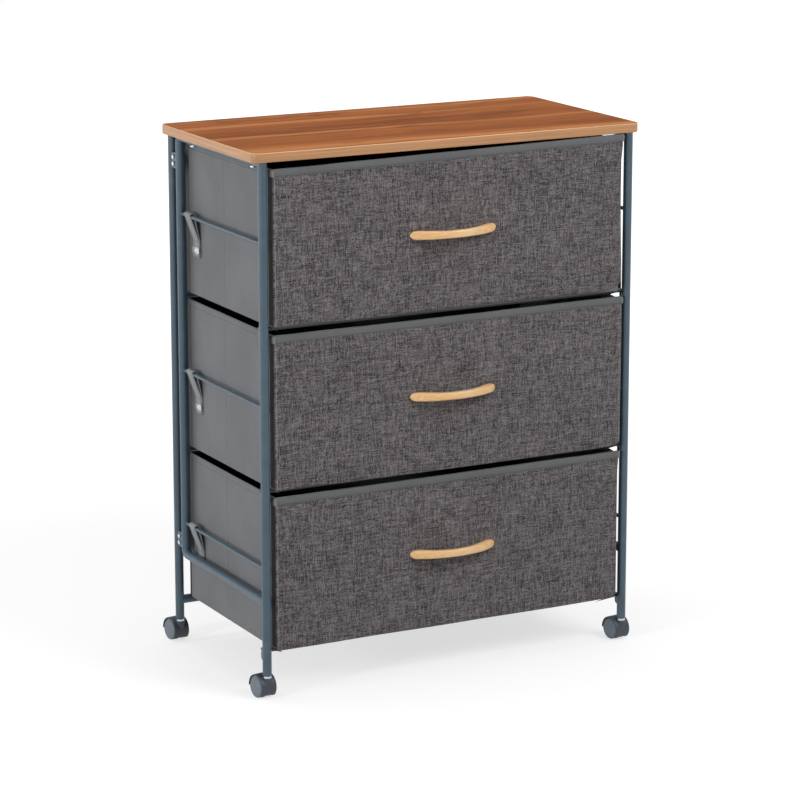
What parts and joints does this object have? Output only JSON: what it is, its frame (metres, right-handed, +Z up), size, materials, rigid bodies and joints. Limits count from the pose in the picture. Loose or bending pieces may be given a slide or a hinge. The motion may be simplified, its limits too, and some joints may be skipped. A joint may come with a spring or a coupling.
{
  "type": "fabric drawer dresser",
  "caption": "Rolling fabric drawer dresser: steel tube frame, wood-look top, soft fabric drawers that slide out on wooden bow handles, twin-wheel casters.",
  "frame": {"origin": "floor level, midway between the four posts", "axes": "+Z up, +X to the right seen from the front, -Y towards the front where the drawers open"},
  "size_m": [0.602, 0.361, 0.76],
  "materials": {
    "top_wood": "satin walnut-look laminate",
    "edge_band": "matte wood-look edge banding",
    "frame_paint": "satin slate powder coat",
    "rail_paint": "near-black coating",
    "zinc": "bright zinc plating",
    "box_fabric": "grey non-woven fabric",
    "front_fabric": "heathered linen-look weave",
    "base_board": "covered board",
    "handle_wood": "clear-lacquered light wood",
    "webbing": "grey webbing",
    "caster_plastic": "slate moulded plastic"
  },
  "bodies": {
    "frame": {"top_board": "top_wood", "top_edge_band": "edge_band", "board_screws": "zinc", "front_left_post": "frame_paint", "front_right_post": "frame_paint", "rear_left_post": "frame_paint", "rear_right_post": "frame_paint", "left_side_loop": "frame_paint", "right_side_loop": "frame_paint", "left_top_guide_rod": "frame_paint", "left_middle_guide_rod": "frame_paint", "left_bottom_guide_rod": "frame_paint", "right_top_guide_rod": "frame_paint", "right_middle_guide_rod": "frame_paint", "right_bottom_guide_rod": "frame_paint", "rear_crossbars": "frame_paint", "top_front_rail": "rail_paint", "middle_front_rail": "rail_paint", "bottom_front_rail": "rail_paint", "rail_brackets": "frame_paint", "loop_brackets": "frame_paint", "bracket_screws": "zinc", "caster_stems": "zinc"},
    "top_drawer": {"top_drawer_box": "box_fabric", "top_drawer_front": "front_fabric", "top_drawer_base": "base_board", "top_drawer_handle": "handle_wood", "top_handle_screws": "zinc", "top_drawer_slings": "webbing", "top_sling_clips": "zinc"},
    "middle_drawer": {"middle_drawer_box": "box_fabric", "middle_drawer_front": "front_fabric", "middle_drawer_base": "base_board", "middle_drawer_handle": "handle_wood", "middle_handle_screws": "zinc", "middle_drawer_slings": "webbing", "middle_sling_clips": "zinc"},
    "bottom_drawer": {"bottom_drawer_box": "box_fabric", "bottom_drawer_front": "front_fabric", "bottom_drawer_base": "base_board", "bottom_drawer_handle": "handle_wood", "bottom_handle_screws": "zinc", "bottom_drawer_slings": "webbing", "bottom_sling_clips": "zinc"},
    "front_left_caster": {"front_left_caster_hood": "caster_plastic", "front_left_caster_axle": "zinc"},
    "front_left_wheel_left": {"front_left_left_wheel": "caster_plastic"},
    "front_left_wheel_right": {"front_left_right_wheel": "caster_plastic"},
    "front_right_caster": {"front_right_caster_hood": "caster_plastic", "front_right_caster_axle": "zinc"},
    "front_right_wheel_left": {"front_right_left_wheel": "caster_plastic"},
    "front_right_wheel_right": {"front_right_right_wheel": "caster_plastic"},
    "rear_left_caster": {"rear_left_caster_hood": "caster_plastic", "rear_left_caster_axle": "zinc"},
    "rear_left_wheel_left": {"rear_left_left_wheel": "caster_plastic"},
    "rear_left_wheel_right": {"rear_left_right_wheel": "caster_plastic"},
    "rear_right_caster": {"rear_right_caster_hood": "caster_plastic", "rear_right_caster_axle": "zinc"},
    "rear_right_wheel_left": {"rear_right_left_wheel": "caster_plastic"},
    "rear_right_wheel_right": {"rear_right_right_wheel": "caster_plastic"}
  },
  "joints": [
    {"name": "top_drawer_slide", "type": "slide", "parent": "frame", "child": "top_drawer", "axis": [0, -1, 0], "range_m": [0, 0.215]},
    {"name": "middle_drawer_slide", "type": "slide", "parent": "frame", "child": "middle_drawer", "axis": [0, -1, 0], "range_m": [0, 0.215]},
    {"name": "bottom_drawer_slide", "type": "slide", "parent": "frame", "child": "bottom_drawer", "axis": [0, -1, 0], "range_m": [0, 0.215]},
    {"name": "front_left_caster_swivel", "type": "hinge", "parent": "frame", "child": "front_left_caster", "pos_m": [-0.285, -0.148, 0.02], "axis": [0, 0, 1], "continuous": true},
    {"name": "front_left_left_wheel_spin", "type": "hinge", "parent": "front_left_caster", "child": "front_left_wheel_left", "pos_m": [-0.28646, -0.13609, 0.0155], "axis": [0.9925, 0.1219, 0], "continuous": true},
    {"name": "front_left_right_wheel_spin", "type": "hinge", "parent": "front_left_caster", "child": "front_left_wheel_right", "pos_m": [-0.28646, -0.13609, 0.0155], "axis": [0.9925, 0.1219, 0], "continuous": true},
    {"name": "front_right_caster_swivel", "type": "hinge", "parent": "frame", "child": "front_right_caster", "pos_m": [0.285, -0.148, 0.02], "axis": [0, 0, 1], "continuous": true},
    {"name": "front_right_left_wheel_spin", "type": "hinge", "parent": "front_right_caster", "child": "front_right_wheel_left", "pos_m": [0.28354, -0.13609, 0.0155], "axis": [0.9925, 0.1219, 0], "continuous": true},
    {"name": "front_right_right_wheel_spin", "type": "hinge", "parent": "front_right_caster", "child": "front_right_wheel_right", "pos_m": [0.28354, -0.13609, 0.0155], "axis": [0.9925, 0.1219, 0], "continuous": true},
    {"name": "rear_left_caster_swivel", "type": "hinge", "parent": "frame", "child": "rear_left_caster", "pos_m": [-0.285, 0.148, 0.02], "axis": [0, 0, 1], "continuous": true},
    {"name": "rear_left_left_wheel_spin", "type": "hinge", "parent": "rear_left_caster", "child": "rear_left_wheel_left", "pos_m": [-0.28646, 0.15991, 0.0155], "axis": [0.9925, 0.1219, 0], "continuous": true},
    {"name": "rear_left_right_wheel_spin", "type": "hinge", "parent": "rear_left_caster", "child": "rear_left_wheel_right", "pos_m": [-0.28646, 0.15991, 0.0155], "axis": [0.9925, 0.1219, 0], "continuous": true},
    {"name": "rear_right_caster_swivel", "type": "hinge", "parent": "frame", "child": "rear_right_caster", "pos_m": [0.285, 0.148, 0.02], "axis": [0, 0, 1], "continuous": true},
    {"name": "rear_right_left_wheel_spin", "type": "hinge", "parent": "rear_right_caster", "child": "rear_right_wheel_left", "pos_m": [0.28354, 0.15991, 0.0155], "axis": [0.9925, 0.1219, 0], "continuous": true},
    {"name": "rear_right_right_wheel_spin", "type": "hinge", "parent": "rear_right_caster", "child": "rear_right_wheel_right", "pos_m": [0.28354, 0.15991, 0.0155], "axis": [0.9925, 0.1219, 0], "continuous": true}
  ]
}
